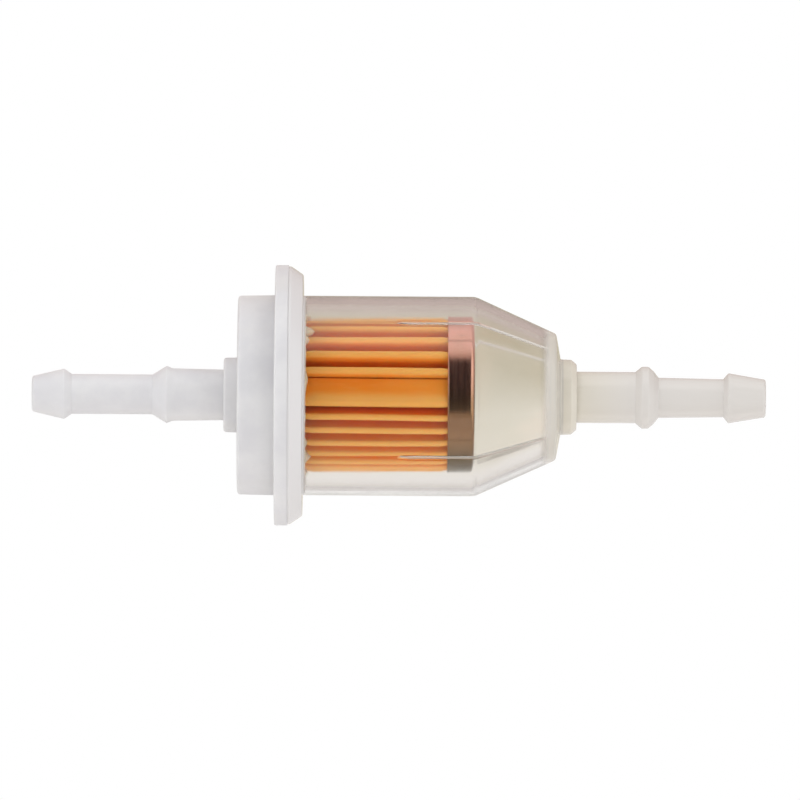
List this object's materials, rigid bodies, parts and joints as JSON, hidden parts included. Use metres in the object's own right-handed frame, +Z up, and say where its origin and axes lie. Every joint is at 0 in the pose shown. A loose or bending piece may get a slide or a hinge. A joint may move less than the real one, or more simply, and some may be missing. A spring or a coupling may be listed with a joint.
{
  "type": "fuel filter",
  "caption": "Inline fuel filter for small engines: white lid and clear bowl with stepped hose nozzles, welded at a flange around a pleated paper element with a steel end cap.",
  "frame": {"origin": "the middle of the filter's length, on its axis", "axes": "+X along the filter's axis, from the lid's outlet nozzle to the bowl's inlet nozzle; +Z up, with the wide panel of the paper's seam on the -Y side"},
  "size_m": [0.1144, 0.0406, 0.0406],
  "materials": {
    "white_nylon": "semi-gloss moulded, slightly translucent",
    "clear_nylon": "clear, faintly hazy, milky where it is thick",
    "filter_paper": "resin-treated, matt, fine fibre",
    "adhesive": "cast, cream, softly glossy",
    "core_nylon": "moulded",
    "plated_steel": "yellow-chromate plated, drawn"
  },
  "bodies": {
    "root": {"lid": "white_nylon", "bowl": "clear_nylon", "pleated_paper": "filter_paper", "seam_adhesive": "adhesive", "lid_potting": "adhesive", "end_cap_potting": "adhesive", "support_core": "core_nylon", "end_cap": "plated_steel"}
  },
  "joints": []
}
